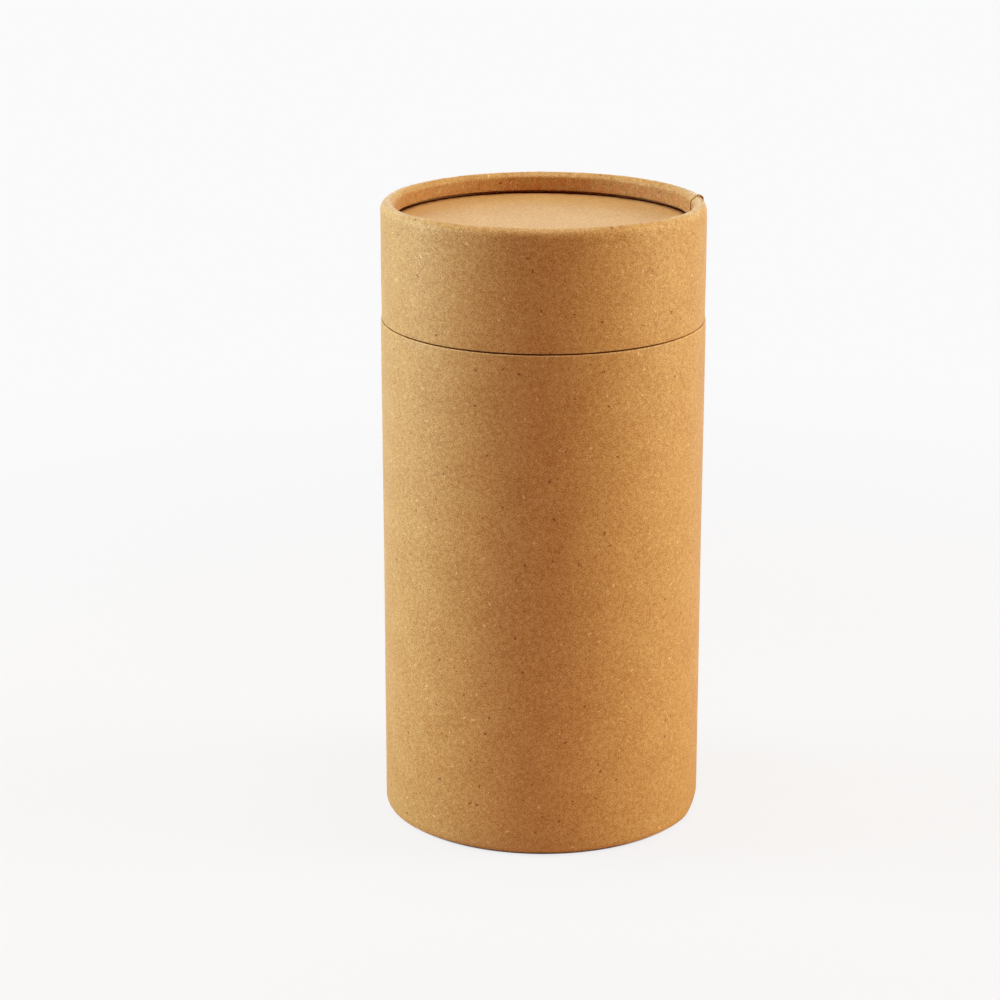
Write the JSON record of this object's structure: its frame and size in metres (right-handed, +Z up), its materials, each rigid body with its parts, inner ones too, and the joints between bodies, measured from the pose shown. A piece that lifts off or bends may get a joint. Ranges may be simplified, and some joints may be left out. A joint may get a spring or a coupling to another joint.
{
  "type": "kraft paper tube box",
  "caption": "Round kraft paper tube with a lift-off flush lid on an inner neck; the foot and the crown are curled inward over recessed discs.",
  "frame": {"origin": "centre of the foot, on the surface that the tube stands on", "axes": "+Z up along the tube's axis, -Y towards the viewer, +X to the viewer's right"},
  "size_m": [0.084, 0.084, 0.1643],
  "materials": {
    "kraft_wrap": "wound kraft board, matt with a faint sheen",
    "kraft_neck": "wound kraft board, matt",
    "kraft_disc": "kraft paper on flat board, matt with a faint sheen"
  },
  "bodies": {
    "base": {"body_tube": "kraft_wrap", "neck_tube": "kraft_neck", "base_disc": "kraft_disc"},
    "lid": {"lid_tube": "kraft_wrap", "lid_disc": "kraft_disc"}
  },
  "joints": [
    {"name": "lid_lift", "type": "slide", "parent": "base", "child": "lid", "axis": [0, 0, 1], "range_m": [0, 0.1]}
  ]
}
